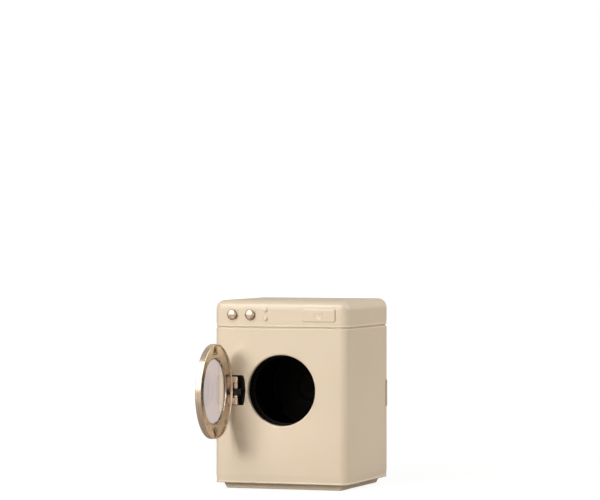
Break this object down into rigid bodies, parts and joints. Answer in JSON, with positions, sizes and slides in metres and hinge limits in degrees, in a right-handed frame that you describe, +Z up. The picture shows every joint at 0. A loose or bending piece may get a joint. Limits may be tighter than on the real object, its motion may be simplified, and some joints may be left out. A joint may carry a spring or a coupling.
{
  "type": "toy washing machine",
  "caption": "Free-standing toy washing machine of enamelled tin with a hinged porthole door, turning knobs and a black drum inside.",
  "frame": {"origin": "middle of the plinth's flat underside, on the surface that the machine stands on", "axes": "+Z up, +X to the right as seen from the front, -Y out of the front where the door is"},
  "size_m": [0.094, 0.1511, 0.1245],
  "materials": {
    "paint": "satin cream enamel",
    "plating": "pale gold mirror plating",
    "black_mould": "semi-gloss black moulding",
    "pane": "clear moulded pane",
    "steel": "plain",
    "bronze": "sintered bush"
  },
  "bodies": {
    "cabinet": {"cabinet_shell": "paint", "rear_panel": "paint", "rear_clip_right": "paint", "rear_clip_left": "paint", "plinth_tray": "paint", "top_cap": "paint", "front_frame": "black_mould", "drum_tub": "black_mould", "tub_screw_1": "steel", "tub_screw_2": "steel", "tub_screw_3": "steel", "tub_screw_4": "steel", "drum_bearing": "bronze"},
    "door": {"door_back_bezel": "plating", "door_front_bezel": "plating", "door_window": "pane", "door_clip_top": "plating", "door_clip_bottom": "plating", "hinge_pin": "steel", "hinge_sleeve_top": "plating", "hinge_sleeve_bottom": "plating"},
    "drum_assembly": {"drum": "black_mould", "drum_axle": "steel", "drum_axle_clip": "steel"},
    "left_knob": {"knob_left": "plating", "knob_left_washer": "steel", "knob_left_nut": "steel"},
    "right_knob": {"knob_right": "plating", "knob_right_washer": "steel", "knob_right_nut": "steel"}
  },
  "joints": [
    {"name": "door_hinge", "type": "hinge", "parent": "cabinet", "child": "door", "pos_m": [-0.0312, -0.0437, 0.0648], "axis": [0, 0, 1], "range_deg": [-2, 89.1]},
    {"name": "drum_spin", "type": "hinge", "parent": "cabinet", "child": "drum_assembly", "pos_m": [0.0005, 0, 0.0653], "axis": [0, 1, 0], "continuous": true},
    {"name": "knob_left_turn", "type": "hinge", "parent": "cabinet", "child": "left_knob", "pos_m": [-0.0335, -0.044, 0.1149], "axis": [0, -1, 0], "continuous": true},
    {"name": "knob_right_turn", "type": "hinge", "parent": "cabinet", "child": "right_knob", "pos_m": [-0.021, -0.044, 0.1149], "axis": [0, -1, 0], "continuous": true}
  ]
}
